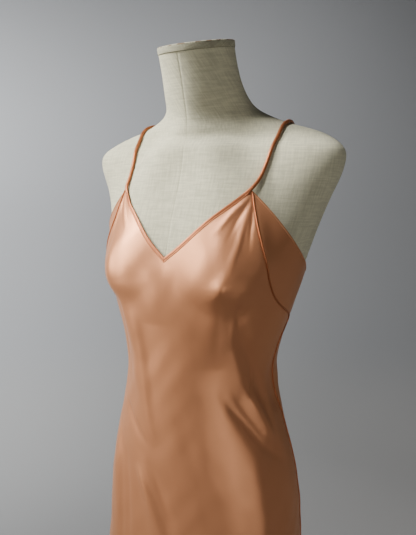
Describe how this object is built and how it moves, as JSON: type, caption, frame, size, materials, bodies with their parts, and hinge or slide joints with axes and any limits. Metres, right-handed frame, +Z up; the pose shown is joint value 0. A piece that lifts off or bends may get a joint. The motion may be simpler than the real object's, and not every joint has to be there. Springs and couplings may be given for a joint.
{
  "type": "slip dress on a limbless dress form",
  "caption": "Bias-cut V-neck slip dress with cord straps and piped side seams, worn by a limbless linen dress form on a pole and a round base.",
  "frame": {"origin": "on the floor under the middle of the whole, at the foot of the base plate", "axes": "+Z up, the front of the dress faces -Y, +X is the wearer's left"},
  "size_m": [0.4778, 0.413, 1.5025],
  "materials": {
    "satin": "smooth bias-cut satin with a soft sheen",
    "satin_trim": "satin cut into narrow strips, folded and stitched",
    "linen": "coarse matt linen, stretched over padding",
    "cap_cloth": "the same linen, glued over a round board and rubbed at its edge",
    "brushed_steel": "brushed",
    "painted_steel": "dark satin paint"
  },
  "bodies": {
    "root": {"front_panel": "satin", "back_panel": "satin", "neckline_binding_left": "satin_trim", "neckline_binding_right": "satin_trim", "seam_piping_left": "satin_trim", "seam_piping_right": "satin_trim", "strap_left": "satin_trim", "strap_right": "satin_trim", "form_torso": "linen", "neck_cap": "cap_cloth", "pole_collar": "brushed_steel", "pole": "brushed_steel", "base_plate": "painted_steel"}
  },
  "joints": []
}
